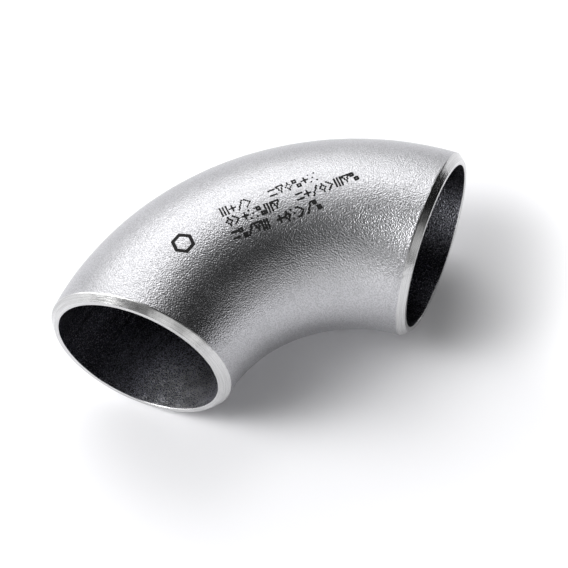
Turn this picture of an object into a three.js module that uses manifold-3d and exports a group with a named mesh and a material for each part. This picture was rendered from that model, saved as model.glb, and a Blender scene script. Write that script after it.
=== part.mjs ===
// Butt-weld pipe elbow, 90 degrees, long radius, NPS 1 1/2 (DN 40), schedule 10S.
//
// One seamless piece of austenitic stainless steel: a tube of constant wall bent
// through a quarter turn, with both ends faced square and bevelled for welding.
// Nothing is fitted to it and nothing on it moves, so it is a single closed solid.
//
// Units are millimetres, +Z up. The elbow lies on its side, so the bend turns about
// a vertical axis and the centreline stays at half the outside diameter above the
// surface. The origin is the middle of the underside of the bounding box.
// End A opens towards -Y, end B opens towards +X.

import * as THREE from 'three';
import { mergeVertices } from 'three/addons/utils/BufferGeometryUtils.js';
import Module from 'manifold-3d';

// ---- driving dimensions ---------------------------------------------------------

const OUTSIDE_DIAMETER = 48.26;   // NPS 1 1/2 tube
const WALL = 2.77;                // schedule 10S
const CENTRE_TO_END = 57.15;      // long radius: 1.5 times the nominal size
const LAND = 1.2;                 // flat ring left at each end, next to the bore
const BEVEL_DEPTH = 1.75;         // how far the weld bevel runs back from the end

const SECTION_SIDES = 64;         // facets round the tube
const BEND_STEPS = 32;            // facets along the quarter turn

// ---- sizes that follow ----------------------------------------------------------

const OUTER_RADIUS = OUTSIDE_DIAMETER / 2;
const BORE_RADIUS = OUTER_RADIUS - WALL;
const BEND_RADIUS = CENTRE_TO_END;            // a 90 degree bend with no straight tangents
const OVERALL = BEND_RADIUS + OUTER_RADIUS;   // length and width of the bounding box

const BEND_CENTRE = new THREE.Vector3(OVERALL / 2, -OVERALL / 2, OUTER_RADIUS);
const END_A = new THREE.Vector3(BEND_CENTRE.x - BEND_RADIUS, BEND_CENTRE.y, OUTER_RADIUS);
const END_B = new THREE.Vector3(BEND_CENTRE.x, BEND_CENTRE.y + BEND_RADIUS, OUTER_RADIUS);

// ---- solids ---------------------------------------------------------------------

const wasm = await Module();
wasm.setup();

// A closed three.js geometry as a solid that can be joined and cut.
function toSolid(geometry) {
  const bare = geometry.clone();
  bare.deleteAttribute('normal');
  bare.deleteAttribute('uv');
  const merged = mergeVertices(bare, 1e-5);
  const position = merged.getAttribute('position');
  const index = merged.getIndex().array;
  const triangles = [];
  let volume = 0;
  const a = new THREE.Vector3();
  const b = new THREE.Vector3();
  const c = new THREE.Vector3();
  for (let i = 0; i < index.length; i += 3) {
    const [p, q, r] = [index[i], index[i + 1], index[i + 2]];
    if (p === q || q === r || r === p) continue;
    triangles.push(p, q, r);
    a.fromBufferAttribute(position, p);
    b.fromBufferAttribute(position, q);
    c.fromBufferAttribute(position, r);
    volume += a.dot(b.cross(c));
  }
  if (volume < 0) {
    for (let i = 0; i < triangles.length; i += 3) {
      [triangles[i + 1], triangles[i + 2]] = [triangles[i + 2], triangles[i + 1]];
    }
  }
  return new wasm.Manifold(new wasm.Mesh({
    numProp: 3,
    vertProperties: new Float32Array(position.array),
    triVerts: new Uint32Array(triangles),
  }));
}

// The solid as a three.js geometry again.
function toGeometry(solid) {
  const mesh = solid.getMesh();
  const geometry = new THREE.BufferGeometry();
  geometry.setAttribute('position', new THREE.BufferAttribute(mesh.vertProperties, 3));
  geometry.setIndex(new THREE.BufferAttribute(mesh.triVerts, 1));
  geometry.computeVertexNormals();
  return geometry;
}

// A full ring of round section, turned about the bend's vertical axis.
function bentRound(radius) {
  const section = [];
  for (let i = 0; i <= SECTION_SIDES; i += 1) {
    const turn = ((i % SECTION_SIDES) / SECTION_SIDES) * Math.PI * 2;
    section.push(new THREE.Vector2(BEND_RADIUS + radius * Math.cos(turn), radius * Math.sin(turn)));
  }
  const ring = new THREE.LatheGeometry(section, BEND_STEPS * 4);
  ring.rotateX(Math.PI / 2);
  ring.translate(BEND_CENTRE.x, BEND_CENTRE.y, BEND_CENTRE.z);
  return toSolid(ring);
}

// The quarter of space between the two end planes.
function quarter() {
  const side = OVERALL + 40;
  const block = new THREE.BoxGeometry(side, side, OUTSIDE_DIAMETER + 20);
  block.translate(BEND_CENTRE.x - side / 2, BEND_CENTRE.y + side / 2, BEND_CENTRE.z);
  return toSolid(block);
}

// What the end mill takes off one end: a ring of triangular section whose sloping side
// is the weld bevel. It is turned about its own +Y axis, with the end face at y = 0 and
// the tube on the +y side.
function bevelRing() {
  const slope = (OUTER_RADIUS - (BORE_RADIUS + LAND)) / BEVEL_DEPTH;
  const at = (y) => new THREE.Vector2(BORE_RADIUS + LAND + slope * y, y);
  const inner = at(-1);
  const outer = at(BEVEL_DEPTH + 1.5);
  const section = [inner, outer, new THREE.Vector2(outer.x, inner.y), inner.clone()];
  return new THREE.LatheGeometry(section, SECTION_SIDES);
}

const bevelA = bevelRing();
bevelA.translate(END_A.x, END_A.y, END_A.z);

const bevelB = bevelRing();
bevelB.rotateZ(Math.PI / 2);      // +Y, into the tube, becomes -X
bevelB.translate(END_B.x, END_B.y, END_B.z);

const body = bentRound(OUTER_RADIUS)
  .subtract(bentRound(BORE_RADIUS))
  .intersect(quarter())
  .subtract(toSolid(bevelA))
  .subtract(toSolid(bevelB));

// ---- scene graph ----------------------------------------------------------------

const elbow = new THREE.Mesh(
  toGeometry(body),
  new THREE.MeshStandardMaterial({ color: 0x9b9a97, roughness: 0.5, metalness: 1.0 }),
);
elbow.name = 'elbow_body';

const pipeElbow = new THREE.Group();
pipeElbow.name = 'pipe_elbow';
pipeElbow.add(elbow);

export default pipeElbow;
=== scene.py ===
# Looks of the 90 degree butt-weld pipe elbow: a shot-blasted seamless stainless tube with
# machined weld ends, lying on its side on a plain pale floor under soft studio light.

import math

import bpy
import numpy as np
from mathutils import Matrix, Vector


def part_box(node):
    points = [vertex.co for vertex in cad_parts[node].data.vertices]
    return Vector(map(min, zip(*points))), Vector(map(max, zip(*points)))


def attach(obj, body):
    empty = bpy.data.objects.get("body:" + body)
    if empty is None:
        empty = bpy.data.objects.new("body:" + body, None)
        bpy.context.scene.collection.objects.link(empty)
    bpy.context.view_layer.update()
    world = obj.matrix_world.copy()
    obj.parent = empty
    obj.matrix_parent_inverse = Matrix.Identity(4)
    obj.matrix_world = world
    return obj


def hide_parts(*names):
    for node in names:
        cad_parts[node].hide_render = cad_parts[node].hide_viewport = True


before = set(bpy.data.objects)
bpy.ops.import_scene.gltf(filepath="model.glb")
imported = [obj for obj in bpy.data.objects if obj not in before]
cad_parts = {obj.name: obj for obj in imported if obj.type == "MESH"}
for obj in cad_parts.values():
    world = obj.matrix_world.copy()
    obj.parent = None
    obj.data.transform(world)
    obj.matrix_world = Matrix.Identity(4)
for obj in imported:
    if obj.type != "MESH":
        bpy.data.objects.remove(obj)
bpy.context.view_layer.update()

MM = 0.001

# ---- sizes, in millimetres, the same as the CAD -------------------------------------
OUTSIDE_R = 24.13
WALL = 2.77
BORE_R = OUTSIDE_R - WALL
BEND_R = 57.15
LAND = 1.2
BEVEL_DEPTH = 1.75

low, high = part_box("elbow_body")
OVERALL = BEND_R + OUTSIDE_R
CENTRE = np.array([OVERALL / 2, -OVERALL / 2, OUTSIDE_R])   # centre of the bend

AROUND = 256          # columns round the section
ALONG_OUT = 236       # rows along the outside
ALONG_IN = 96         # rows along the bore


# ---- small tools --------------------------------------------------------------------
def lattice(ix, iy, iz, seed):
    """A repeatable number from -1 to 1 for each whole-number point."""
    h = (ix.astype(np.uint64) * np.uint64(73856093)) ^ (iy.astype(np.uint64) * np.uint64(19349663)) \
        ^ (iz.astype(np.uint64) * np.uint64(83492791)) ^ np.uint64(seed * 2654435761 % (1 << 32))
    h = (h ^ (h >> np.uint64(13))) * np.uint64(1274126177)
    h = h ^ (h >> np.uint64(16))
    return (h & np.uint64(0xFFFFFF)).astype(np.float64) / float(0xFFFFFF) * 2.0 - 1.0


def noise3(p, size, seed):
    """Smooth value noise of points p in mm, with features about size mm across."""
    q = p / size + 512.0
    i = np.floor(q).astype(np.int64)
    f = q - i
    f = f * f * f * (f * (f * 6 - 15) + 10)
    out = 0.0
    for dx in (0, 1):
        wx = f[..., 0] if dx else 1 - f[..., 0]
        for dy in (0, 1):
            wy = f[..., 1] if dy else 1 - f[..., 1]
            for dz in (0, 1):
                wz = f[..., 2] if dz else 1 - f[..., 2]
                out = out + wx * wy * wz * lattice(i[..., 0] + dx, i[..., 1] + dy, i[..., 2] + dz, seed)
    return out


def bend_point(radius, theta, phi):
    """A point on the tube: theta along the bend from end A, phi round the section from its outer side."""
    reach = BEND_R + radius * np.cos(phi)
    return np.stack([CENTRE[0] - reach * np.cos(theta),
                     CENTRE[1] + reach * np.sin(theta),
                     CENTRE[2] + radius * np.sin(phi)], -1)


def bend_normal(theta, phi):
    return np.stack([-np.cos(phi) * np.cos(theta), np.cos(phi) * np.sin(theta), np.sin(phi)], -1)


def skin_lumps(p):
    """How far the blasted skin stands off its nominal surface at points p, in mm."""
    return 0.016 * noise3(p, 7.0, 11) + 0.008 * noise3(p, 2.6, 12) + 0.006 * noise3(p, 1.35, 13) - 0.012


def end_point(end, radius, depth, phi):
    """A point on the ring of that radius, depth mm back from the face of end A or B."""
    reach = BEND_R + radius * np.cos(phi)
    z = CENTRE[2] + radius * np.sin(phi)
    depth = depth + 0.0 * phi
    if end == "A":
        return np.stack([CENTRE[0] - reach, CENTRE[1] + depth, z], -1)
    return np.stack([CENTRE[0] - depth, CENTRE[1] + reach, z], -1)


# ---- the elbow's skin as one closed grid --------------------------------------------
def build_elbow():
    phi = np.linspace(0, 2 * math.pi, AROUND, endpoint=False)
    rows, mats, tool = [], [], []

    def add(points, mat, profile):
        """One ring of points; mat is the finish of the band from this ring to the next."""
        rows.append(points)
        mats.append(mat)
        tool.append(np.stack([np.full(AROUND, float(profile)), np.cos(phi), np.sin(phi)], -1))

    radial = OUTSIDE_R - (BORE_R + LAND)

    def ragged(end):
        """How far the bevel's outer edge wanders, because the blasted skin it cuts isn't smooth."""
        p = end_point(end, OUTSIDE_R, BEVEL_DEPTH, phi)
        s = 1 if end == "A" else 5
        w = 0.035 * noise3(p, 2.6, s) + 0.03 * noise3(p, 1.1, s + 1)
        nick = np.clip(noise3(p, 1.6, s + 2) - 0.62, 0, 1) * 0.55
        return w + nick

    edge = {e: BEVEL_DEPTH + ragged(e) for e in "AB"}

    # outside, from end A to end B
    reach = BEND_R + OUTSIDE_R * np.cos(phi)
    start = np.arcsin((edge["A"] + 0.10) / reach)
    stop = math.pi / 2 - np.arcsin((edge["B"] + 0.10) / reach)
    for k in range(ALONG_OUT):
        t = k / (ALONG_OUT - 1)
        theta = start * (1 - t) + stop * t
        p = bend_point(OUTSIDE_R, theta, phi)
        n = bend_normal(theta, phi)
        add(p + n * skin_lumps(p)[:, None], 0, 0.0)

    def weld_end(end, inward):
        """The rings across one machined end, from the skin to the bore, or back again."""
        d0 = edge[end]
        k0 = (OUTSIDE_R - BORE_R - LAND) / BEVEL_DEPTH
        list_ = []
        # (radius, depth, finish of the band that follows going inward, profile coordinate)
        list_.append((OUTSIDE_R - 0.035, d0 + 0.035, 1, 0.0))
        list_.append((OUTSIDE_R - 0.075, d0 - 0.052, 1, 0.10))
        for j in range(1, 8):
            f = j / 8.0
            list_.append((OUTSIDE_R - 0.06 - (radial - 0.10) * f, None, 1, 0.10 + 2.2 * f))
        list_.append((BORE_R + LAND + 0.045, 0.045 / k0 + 0.006, 1, 2.32))
        list_.append((BORE_R + LAND + 0.010, 0.010, 2, 2.37))
        list_.append((BORE_R + LAND - 0.030, 0.0, 2, 2.42))
        for j in range(1, 5):
            f = j / 5.0
            list_.append((BORE_R + LAND - 0.030 - (LAND - 0.19) * f, 0.0, 2, 2.42 + 1.0 * f))
        list_.append((BORE_R + 0.16, 0.0, 3, 3.45))
        list_.append((BORE_R + 0.075, 0.022, 3, 3.53))
        list_.append((BORE_R + 0.022, 0.075, 3, 3.61))
        list_.append((BORE_R + 0.0, 0.17, 4, 3.7))
        out = []
        for radius, depth, mat, profile in list_:
            r = radius + 0.0 * phi
            if depth is None:
                # on the straight line from the ragged outer edge to the land
                r_out, dep_out = OUTSIDE_R - 0.06, d0 - 0.045
                r_in, dep_in = BORE_R + LAND, 0.0
                f = (r_out - r) / (r_out - r_in)
                d = dep_out + (dep_in - dep_out) * f
            else:
                d = depth + 0.0 * phi
            p = end_point(end, r, np.maximum(d, 0.0), phi)
            if profile > 3.4:
                wob = 0.02 * noise3(p, 1.7, 31) + 0.012 * noise3(p, 0.8, 32)
                p = end_point(end, r + wob * (0.3 if profile < 3.5 else 1.0), np.maximum(d, 0.0), phi)
            out.append((p, mat, profile))
        if inward:
            for p, mat, profile in out:
                add(p, mat, profile)
        else:
            # going outward, a ring's finish is that of the band that leads to the next ring out
            for i in range(len(out) - 1, -1, -1):
                mat = out[i - 1][1] if i > 0 else 1
                add(out[i][0], mat, out[i][2])

    # the band from the last skin ring onto the bevel's rounded edge is blasted too
    weld_end("B", True)

    # the bore, from end B back to end A
    reach_in = BEND_R + BORE_R * np.cos(phi)
    a = np.arcsin(0.55 / reach_in)
    for k in range(ALONG_IN):
        t = k / (ALONG_IN - 1)
        theta = (math.pi / 2 - a) * (1 - t) + a * t
        p = bend_point(BORE_R, theta, phi)
        n = bend_normal(theta, phi)
        lumps = 0.035 * noise3(p, 6.0, 21) + 0.03 * noise3(p, 2.4, 22)
        fade = min(1.0, k / 3.0, (ALONG_IN - 1 - k) / 3.0)
        add(p + n * (lumps * fade)[:, None], 4, 3.7 + 2.0 * min(t, 1 - t))
    weld_end("A", False)

    n_rows = len(rows)
    verts = np.concatenate(rows, 0) * MM
    tools = np.concatenate(tool, 0)
    i = np.arange(n_rows)[:, None] * AROUND
    j = np.arange(n_rows)
    nxt = ((j + 1) % n_rows)[:, None] * AROUND
    c = np.arange(AROUND)[None, :]
    c1 = (np.arange(AROUND) + 1) % AROUND
    quads = np.stack([i + c, i + c1[None, :], nxt + c1[None, :], nxt + c], -1).reshape(-1, 4)
    face_mat = np.repeat(np.array(mats, np.int32), AROUND)

    mesh = bpy.data.meshes.new("elbow_skin")
    mesh.vertices.add(len(verts))
    mesh.vertices.foreach_set("co", verts.astype(np.float32).ravel())
    mesh.loops.add(quads.size)
    mesh.loops.foreach_set("vertex_index", quads.astype(np.int32).ravel())
    mesh.polygons.add(len(quads))
    mesh.polygons.foreach_set("loop_start", np.arange(0, quads.size, 4, dtype=np.int32))
    mesh.update(calc_edges=True)
    mesh.validate()
    # faces out: the volume by the divergence theorem is positive
    q = verts[quads]
    tri = np.concatenate([q[:, [0, 1, 2]], q[:, [0, 2, 3]]])
    volume = np.einsum("ij,ij->i", tri[:, 0], np.cross(tri[:, 1], tri[:, 2])).sum() / 6
    if volume < 0:
        mesh.flip_normals()
    mesh.polygons.foreach_set("material_index", face_mat)
    mesh.polygons.foreach_set("use_smooth", np.ones(len(quads), bool))
    at = mesh.attributes.new("tool", "FLOAT_VECTOR", "POINT")
    at.data.foreach_set("vector", tools.astype(np.float32).ravel())
    mesh.update()
    print("elbow skin:", len(verts), "points,", len(quads), "faces, volume mm3", abs(volume) * 1e9)
    ob = bpy.data.objects.new("elbow_skin", mesh)
    bpy.context.scene.collection.objects.link(ob)
    return ob


# ---- the ink marking: generic printed symbols, with no lettering -----------------------
# Each row runs straight in plan, from one point to another, x and y in mm.
#        start             end               symbols ('.' is a space)   dot radius
ROWS = [((-6.78, -8.29), (11.00, 10.28), "abcd..efghbi", 0.245),
        ((-4.51, -10.42), (20.39, 14.11), "gdbihaf..ebcgdafh", 0.275),
        ((-1.72, -12.92), (14.70, 3.58), "ehcfa.bgidch", 0.305)]
ROW_HEIGHT = 2.30
INK_STEP = 0.115
INK_PROUD = 0.022
INK_SUNK = 0.030

SYMBOLS = {   # five dots wide and seven high, all plain geometric shapes
    "a": ("#.#.#", "#.#.#", "#.#.#", "#.#.#", "#.#.#", "#.#.#", "#.#.#"),
    "b": (".....", "..#..", "..#..", "#####", "..#..", "..#..", "....."),
    "c": ("....#", "...#.", "...#.", "..#..", ".#...", ".#...", "#...."),
    "d": ("#....", ".#...", "..#..", "...#.", "..#..", ".#...", "#...."),
    "e": (".....", "#####", ".....", ".....", ".....", "#####", "....."),
    "f": ("#####", "#...#", ".#.#.", ".#.#.", "..#..", "..#..", "....."),
    "g": ("..#..", "..#..", ".#.#.", "#...#", ".#.#.", "..#..", "..#.."),
    "h": ("###..", "#.#..", "###..", ".....", "..###", "..#.#", "..###"),
    "i": ("#...#", ".....", ".....", "..#..", ".....", ".....", "#...#"),
}


def skin_top(x, y):
    """The upper skin above points in plan: the nominal point and the way it faces."""
    dx, dy = x - CENTRE[0], y - CENTRE[1]
    reach = np.hypot(dx, dy)
    off = reach - BEND_R
    z = np.sqrt(OUTSIDE_R ** 2 - off ** 2)
    n = np.stack([dx / reach * off, dy / reach * off, z], -1) / OUTSIDE_R
    return np.stack([x, y, CENTRE[2] + z], -1), n


def ink_patch(origin, along, size, field):
    """A thin closed layer of ink on the skin, wherever field(a, b) is above nought."""
    along = np.array(along, float) / np.hypot(*along)
    across = np.array([-along[1], along[0]])
    na, nb = int(size[0] / INK_STEP) + 2, int(size[1] / INK_STEP) + 2
    a = (np.arange(na + 1)[:, None] - 0.5) * INK_STEP + np.zeros((1, nb + 1))
    b = (np.arange(nb + 1)[None, :] - nb / 2) * INK_STEP + np.zeros((na + 1, 1))
    f = field(a, b)
    cell = (f[:-1, :-1] + f[1:, :-1] + f[:-1, 1:] + f[1:, 1:]) / 4 > 0
    cell[0] = cell[-1] = False
    cell[:, 0] = cell[:, -1] = False
    for _ in range(6):          # cells that touch only at a corner are joined
        p, q, r, t = cell[:-1, :-1], cell[1:, 1:], cell[1:, :-1], cell[:-1, 1:]
        one, two = p & q & ~r & ~t, r & t & ~p & ~q
        if not (one.any() or two.any()):
            break
        cell[1:, :-1] |= one
        cell[:-1, :-1] |= two
    # outline points slide onto the line where the field is nought
    ga, gb = np.gradient(f, INK_STEP)
    g2 = np.maximum(ga ** 2 + gb ** 2, 0.05)
    full = np.zeros((na + 1, nb + 1), int)
    for i in (0, 1):
        for j in (0, 1):
            full[i:na + i, j:nb + j] += cell
    rim = (full > 0) & (full < 4)
    shift = np.clip(-f / np.sqrt(g2), -0.5 * INK_STEP, 0.5 * INK_STEP) * rim
    a = a + shift * ga / np.sqrt(g2)
    b = b + shift * gb / np.sqrt(g2)
    x = origin[0] + along[0] * a + across[0] * b
    y = origin[1] + along[1] * a + across[1] * b
    p, n = skin_top(x, y)
    stand = skin_lumps(p)
    top = p + n * (stand + INK_PROUD)[..., None]
    low = p + n * (stand - INK_SUNK)[..., None]
    used = full > 0
    index = np.full(used.shape, -1)
    index[used] = np.arange(used.sum())
    count = int(used.sum())
    faces = []
    for i, j in np.argwhere(cell):
        v = (index[i, j], index[i + 1, j], index[i + 1, j + 1], index[i, j + 1])
        faces.append(v)
        faces.append(tuple(count + k for k in reversed(v)))
        for (di, dj), (s, e) in (((0, -1), (v[0], v[1])), ((1, 0), (v[1], v[2])),
                                 ((0, 1), (v[2], v[3])), ((-1, 0), (v[3], v[0]))):
            if not cell[i + di, j + dj]:
                faces.append((e, s, s + count, e + count))
    return np.concatenate([top[used], low[used]]), faces


def build_marking():
    verts, faces = [], []

    def put(patch):
        base = sum(len(v) for v in verts)
        verts.append(patch[0])
        faces.extend(tuple(base + k for k in f) for f in patch[1])

    rng = np.random.default_rng(7)
    for start, end, word, dot in ROWS:
        run = (end[0] - start[0], end[1] - start[1])
        length = math.hypot(*run)
        pitch = length / len(word)
        wide = pitch * 0.74
        spots = []
        for k, ch in enumerate(word):
            if ch == ".":
                continue
            for row, line in enumerate(SYMBOLS[ch]):
                for col, mark in enumerate(line):
                    if mark == "#":
                        spots.append((k * pitch + 0.4 + wide * col / 4 + rng.uniform(-0.03, 0.03),
                                      ROW_HEIGHT * (0.5 - row / 6) + rng.uniform(-0.03, 0.03),
                                      dot * rng.uniform(0.86, 1.12)))

        def field(a, b, spots=spots):
            f = np.full(a.shape, -1.0)
            for sa, sb, r in spots:
                f = np.maximum(f, r - np.hypot(a - sa, b - sb))
            return f

        put(ink_patch(start, run, (length + 0.8, ROW_HEIGHT + 1.0), field))

    def hexagon(a, b):
        x, y = np.abs(a - 3.2), np.abs(b)
        d = np.maximum(x, x / 2 + y * math.sqrt(3) / 2)
        return 0.44 - np.abs(d - 2.20)

    put(ink_patch((-14.0, -21.75), (1.0, 1.0), (6.4, 6.2), hexagon))
    mesh = bpy.data.meshes.new("ink_marking")
    mesh.from_pydata((np.concatenate(verts) * MM).tolist(), [], faces)
    mesh.validate()
    mesh.polygons.foreach_set("use_smooth", np.zeros(len(mesh.polygons), bool))
    mesh.update()
    print("ink marking:", len(mesh.vertices), "points,", len(mesh.polygons), "faces")
    ob = bpy.data.objects.new("ink_marking", mesh)
    bpy.context.scene.collection.objects.link(ob)
    return ob


# ---- node helpers -------------------------------------------------------------------
class Tree:
    """Short ways to add and join shader nodes."""

    def __init__(self, tree):
        self.tree = tree
        tree.nodes.clear()

    def node(self, kind, **settings):
        n = self.tree.nodes.new(kind)
        for k, v in settings.items():
            setattr(n, k, v)
        return n

    def link(self, a, b):
        self.tree.links.new(a, b)

    def put(self, socket, value):
        if isinstance(value, bpy.types.NodeSocket):
            self.link(value, socket)
        else:
            socket.default_value = value

    def math(self, op, a, b=None, c=None, clamp=False):
        n = self.node("ShaderNodeMath", operation=op, use_clamp=clamp)
        self.put(n.inputs[0], a)
        if b is not None:
            self.put(n.inputs[1], b)
        if c is not None:
            self.put(n.inputs[2], c)
        return n.outputs[0]

    def ramp(self, value, a, b, to_a=0.0, to_b=1.0, smooth=True):
        n = self.node("ShaderNodeMapRange", interpolation_type="SMOOTHSTEP" if smooth else "LINEAR")
        n.clamp = True
        self.put(n.inputs["Value"], value)
        n.inputs["From Min"].default_value = a
        n.inputs["From Max"].default_value = b
        n.inputs["To Min"].default_value = to_a
        n.inputs["To Max"].default_value = to_b
        return n.outputs["Result"]

    def noise(self, vector, scale, detail=2.0, rough=0.5, distortion=0.0):
        n = self.node("ShaderNodeTexNoise")
        self.link(vector, n.inputs["Vector"])
        n.inputs["Scale"].default_value = scale
        n.inputs["Detail"].default_value = detail
        n.inputs["Roughness"].default_value = rough
        n.inputs["Distortion"].default_value = distortion
        return n.outputs["Fac"]

    def voronoi(self, vector, scale, feature="F1", rand=1.0):
        n = self.node("ShaderNodeTexVoronoi", feature=feature)
        self.link(vector, n.inputs["Vector"])
        n.inputs["Scale"].default_value = scale
        n.inputs["Randomness"].default_value = rand
        return n.outputs["Distance"]

    def mix(self, fac, a, b):
        n = self.node("ShaderNodeMix", data_type="RGBA")
        self.put(n.inputs[0], fac)
        self.put(n.inputs[6], a)
        self.put(n.inputs[7], b)
        return n.outputs[2]

    def bump(self, height, distance, strength=1.0, normal=None):
        n = self.node("ShaderNodeBump")
        self.link(height, n.inputs["Height"])
        n.inputs["Distance"].default_value = distance
        n.inputs["Strength"].default_value = strength
        if normal is not None:
            self.link(normal, n.inputs["Normal"])
        return n.outputs["Normal"]


def grey(v, blue=0.0):
    return (v, v, v * (1 + blue), 1.0)


def new_material(name):
    m = bpy.data.materials.new(name)
    m.use_nodes = True
    t = Tree(m.node_tree)
    out = t.node("ShaderNodeOutputMaterial")
    p = t.node("ShaderNodeBsdfPrincipled")
    t.link(p.outputs[0], out.inputs[0])
    return m, t, p


def blasted_steel():
    m, t, p = new_material("blasted_stainless")
    co = t.node("ShaderNodeTexCoord").outputs["Object"]
    coarse = t.noise(co, 520.0, 3.0, 0.55)
    dimples = t.noise(co, 2950.0, 0.0, 0.5)
    speckle = t.noise(co, 3100.0, 0.0, 0.5)
    cloud = t.noise(co, 55.0, 4.0, 0.6)
    n1 = t.bump(coarse, 0.00004, 1.0)
    n2 = t.bump(dimples, 0.000100, 1.0, n1)
    t.link(n2, p.inputs["Normal"])
    speck = t.ramp(speckle, 0.34, 0.62)
    tone = t.mix(speck, grey(0.385, 0.035), grey(0.505, 0.035))
    tone = t.mix(t.ramp(cloud, 0.35, 0.70), tone, t.mix(speck, grey(0.41, 0.035), grey(0.535, 0.035)))
    t.link(tone, p.inputs["Base Color"])
    p.inputs["Metallic"].default_value = 1.0
    t.link(t.ramp(cloud, 0.3, 0.7, 0.29, 0.34), p.inputs["Roughness"])
    return m


def bore_steel():
    m, t, p = new_material("pickled_bore")
    co = t.node("ShaderNodeTexCoord").outputs["Object"]
    tool = t.node("ShaderNodeAttribute", attribute_name="tool").outputs["Vector"]
    along = t.node("ShaderNodeVectorMath", operation="MULTIPLY")
    t.link(tool, along.inputs[0])
    along.inputs[1].default_value = (1.3, 13.0, 13.0)
    drawn = t.noise(along.outputs[0], 1.0, 3.0, 0.65)      # long marks left by forming
    coarse = t.noise(co, 420.0, 3.0, 0.6)
    grain = t.noise(co, 2700.0, 0.0, 0.5)
    fine = t.noise(co, 3300.0, 0.0, 0.5)
    n1 = t.bump(drawn, 0.00010, 1.0)
    n2 = t.bump(coarse, 0.00006, 1.0, n1)
    n3 = t.bump(grain, 0.00009, 1.0, n2)
    t.link(n3, p.inputs["Normal"])
    tone = t.mix(t.ramp(drawn, 0.34, 0.54), grey(0.042, 0.18), grey(0.085, 0.18))
    # painted light: two places near the mouths, where light falls into the bore, are painted much brighter
    for place, near, far, painted_lit_tone in (((-0.007, -0.038, 0.005), 0.003, 0.026, 0.85),
                                    ((0.037, 0.035, 0.013), 0.002, 0.014, 0.24)):
        off = t.node("ShaderNodeVectorMath", operation="DISTANCE")
        t.link(co, off.inputs[0])
        off.inputs[1].default_value = place
        edge = t.math("ADD", off.outputs["Value"], t.math("MULTIPLY", t.math("SUBTRACT", drawn, 0.5), 0.012))
        tone = t.mix(t.ramp(edge, near, far, 1.0, 0.0), tone, grey(painted_lit_tone, 0.13))
    grains = t.node("ShaderNodeVectorMath", operation="SCALE")                 # dark and bright grains
    t.link(tone, grains.inputs[0])
    t.link(t.ramp(fine, 0.26, 0.74, 0.25, 1.95, smooth=False), grains.inputs["Scale"])
    capped = t.node("ShaderNodeVectorMath", operation="MINIMUM")
    t.link(grains.outputs[0], capped.inputs[0])
    capped.inputs[1].default_value = (0.97, 0.97, 0.97)
    t.link(t.mix(t.ramp(fine, 0.60, 0.82, 0.0, 0.55), capped.outputs[0], grey(0.62, 0.08)), p.inputs["Base Color"])
    p.inputs["Metallic"].default_value = 1.0
    t.link(t.ramp(coarse, 0.3, 0.7, 0.30, 0.38), p.inputs["Roughness"])
    return m


def machined(name, tone_low, tone_high, rough, depth):
    m, t, p = new_material(name)
    tool = t.node("ShaderNodeAttribute", attribute_name="tool").outputs["Vector"]
    co = t.node("ShaderNodeTexCoord").outputs["Object"]
    s = t.node("ShaderNodeVectorMath", operation="MULTIPLY")
    t.link(tool, s.inputs[0])
    s.inputs[1].default_value = (5.5, 1.6, 1.6)
    lines = t.noise(s.outputs[0], 1.0, 3.0, 0.6)
    s2 = t.node("ShaderNodeVectorMath", operation="MULTIPLY")
    t.link(tool, s2.inputs[0])
    s2.inputs[1].default_value = (14.0, 5.0, 5.0)
    thin = t.noise(s2.outputs[0], 1.0, 2.0, 0.7)
    smear = t.noise(co, 160.0, 3.0, 0.6)
    fine = t.noise(co, 1800.0, 2.0, 0.6)
    s3 = t.node("ShaderNodeVectorMath", operation="MULTIPLY")
    t.link(tool, s3.inputs[0])
    s3.inputs[1].default_value = (0.5, 7.5, 7.5)
    chatter = t.noise(s3.outputs[0], 1.0, 2.0, 0.5)        # waves round the ring
    h = t.math("ADD", t.math("MULTIPLY", lines, 0.6), t.math("MULTIPLY", thin, 0.4))
    n1 = t.bump(chatter, depth * 6, 1.0)
    n2 = t.bump(h, depth, 1.0, n1)
    t.link(n2, p.inputs["Normal"])
    tone = t.mix(t.ramp(h, 0.38, 0.62), grey(tone_low), grey(tone_high))
    tone = t.mix(t.ramp(smear, 0.55, 0.72, 0.0, 0.35), tone, grey(tone_low * 0.82))
    t.link(tone, p.inputs["Base Color"])
    p.inputs["Metallic"].default_value = 1.0
    t.link(t.ramp(t.math("ADD", thin, t.math("MULTIPLY", fine, 0.3)), 0.45, 0.9, rough - 0.04, rough + 0.08),
           p.inputs["Roughness"])
    return m


def ink():
    m, t, p = new_material("marking_ink")
    co = t.node("ShaderNodeTexCoord").outputs["Object"]
    fine = t.noise(co, 2400.0, 2.0, 0.6)
    t.link(t.mix(t.ramp(fine, 0.35, 0.7), grey(0.003), grey(0.012)), p.inputs["Base Color"])
    t.link(t.ramp(fine, 0.3, 0.7, 0.55, 0.72), p.inputs["Roughness"])
    p.inputs["Specular IOR Level"].default_value = 0.22
    t.link(t.bump(fine, 0.00003, 0.8), p.inputs["Normal"])
    return m


# ---- build --------------------------------------------------------------------------
elbow = build_elbow()
for mat in (blasted_steel(),
            machined("weld_bevel", 0.45, 0.63, 0.18, 0.000012),
            machined("weld_land", 0.52, 0.70, 0.18, 0.000010),
            machined("bore_edge", 0.60, 0.78, 0.18, 0.000008),
            bore_steel()):
    elbow.data.materials.append(mat)
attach(elbow, "root")
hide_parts("elbow_body")

marking = build_marking()
marking.data.materials.append(ink())
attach(marking, "root")

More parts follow.
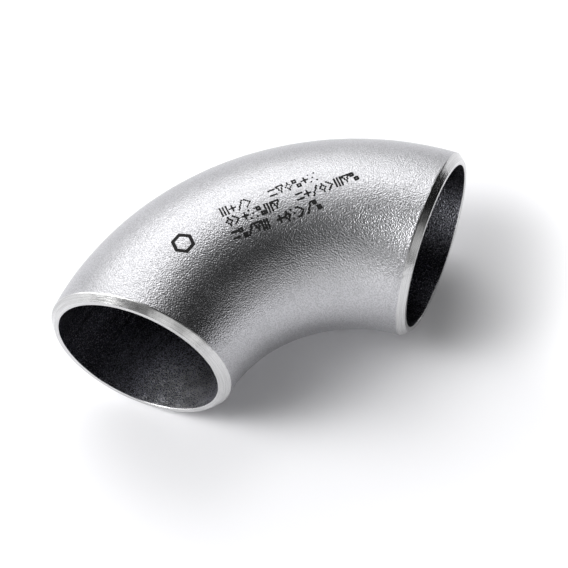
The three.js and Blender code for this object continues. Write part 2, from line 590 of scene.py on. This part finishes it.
# ---- floor --------------------------------------------------------------------------
def floor():
    s = 2.5
    mesh = bpy.data.meshes.new("floor")
    mesh.from_pydata([(-s, -s, 0), (s, -s, 0), (s, s, 0), (-s, s, 0)], [], [(0, 1, 2, 3)])
    ob = bpy.data.objects.new("floor", mesh)
    ob.location = (0, 0, -0.00006)
    bpy.context.scene.collection.objects.link(ob)
    m, t, p = new_material("floor_paper")
    p.inputs["Base Color"].default_value = (0.96, 0.96, 0.98, 1)
    p.inputs["Emission Color"].default_value = (1, 1, 1, 1)
    painted_glow_pool = t.node("ShaderNodeVectorMath", operation="DISTANCE")    # painted light: the paper itself glows past end B, a painted pool of light that lifts the shadow there
    t.link(t.node("ShaderNodeTexCoord").outputs["Object"], painted_glow_pool.inputs[0])
    painted_glow_pool.inputs[1].default_value = (0.100, 0.050, 0.0)
    t.link(t.ramp(painted_glow_pool.outputs["Value"], 0.015, 0.060, 0.45, 0.02), p.inputs["Emission Strength"])
    p.inputs["Roughness"].default_value = 0.8
    p.inputs["Specular IOR Level"].default_value = 0.2
    mesh.materials.append(m)
    return ob


floor()

# ---- camera: a long lens, high over the front-right corner ------------------------------
cam_data = bpy.data.cameras.new("camera")
cam_data.lens = 157.985
cam_data.sensor_width = 36.0
cam_data.sensor_fit = "HORIZONTAL"
cam_data.clip_start = 0.01
cam_data.clip_end = 50.0
cam = bpy.data.objects.new("camera", cam_data)
right = Vector((0.927052, 0.373743, -0.029839))
up = Vector((-0.299855, 0.78684, 0.539416))
back = Vector((0.225081, -0.49112, 0.84151))
rot = Matrix((right, up, back)).transposed().to_4x4()
cam.matrix_world = Matrix.Translation(Vector((0.149388, -0.313906, 0.548869))) @ rot
bpy.context.scene.collection.objects.link(cam)
bpy.context.scene.camera = cam

# ---- light: a soft studio, as a few glowing patches of sky ------------------------------
# Heading in degrees from -Y round towards +X, height above the floor, spread, strength.
LIGHTS = [(-57.0, 40.0, 8.6, 10.5),      # key softbox, high on the left
          (-60.0, 52.0, 10.0, 4.7),
          (-75.0, 22.0, 13.0, 2.5),      # its lower edge
          (-91.0, 8.4, 10.6, 2.85),      # low strip box on the left
          (-59.0, 4.0, 10.0, 0.56),      # white card under the key
          (-35.0, 54.0, 10.0, 1.3),      # overhead scrim
          (-129.5, 26.0, 11.5, 3.36),    # back left
          (-161.0, 24.0, 10.0, 2.58),    # low at the back
          (-141.0, 55.0, 10.0, 1.23),    # high at the back
          (-157.0, 57.0, 8.0, 3.7),
          (163.0, 54.0, 10.0, 0.62),
          (3.0, 3.0, 9.0, 3.02),         # low white card in front
          (18.0, 30.0, 10.0, 1.23),
          (43.0, 10.0, 9.0, 1.34),       # and on the right
          (77.0, 14.0, 10.0, 0.78)]
FILL = 0.012


def studio():
    world = bpy.data.worlds.new("studio")
    bpy.context.scene.world = world
    world.use_nodes = True
    t = Tree(world.node_tree)
    out = t.node("ShaderNodeOutputWorld")
    d = t.node("ShaderNodeTexCoord").outputs["Generated"]
    total = None
    for heading, height, spread, strength in LIGHTS:
        h, e = math.radians(heading), math.radians(height)
        dot = t.node("ShaderNodeVectorMath", operation="DOT_PRODUCT")
        t.link(d, dot.inputs[0])
        dot.inputs[1].default_value = (math.sin(h) * math.cos(e), -math.cos(h) * math.cos(e), math.sin(e))
        k = math.radians(spread) ** -2
        soft = t.math("EXPONENT", t.math("MULTIPLY", t.math("SUBTRACT", dot.outputs["Value"], 1.0), k))
        one = t.math("MULTIPLY_ADD", soft, strength, FILL if total is None else total)
        total = one
    glow = t.node("ShaderNodeBackground")
    t.link(total, glow.inputs["Strength"])
    glow.inputs["Color"].default_value = (1, 1, 1, 1)
    plain = t.node("ShaderNodeBackground")
    plain.inputs["Color"].default_value = (1, 1, 1, 1)
    plain.inputs["Strength"].default_value = 1.0
    path = t.node("ShaderNodeLightPath")
    both = t.node("ShaderNodeMixShader")
    t.link(path.outputs["Is Camera Ray"], both.inputs[0])
    t.link(glow.outputs[0], both.inputs[1])
    t.link(plain.outputs[0], both.inputs[2])
    t.link(both.outputs[0], out.inputs[0])


studio()

bpy.context.scene.view_settings.view_transform = "Standard"
bpy.context.scene.view_settings.look = "None"
cycles = bpy.context.scene.cycles
cycles.use_denoising = True
cycles.denoiser = "OPENIMAGEDENOISE"
cycles.denoising_input_passes = "RGB_ALBEDO_NORMAL"
cycles.denoising_prefilter = "NONE"                 # keeps the blasted grain
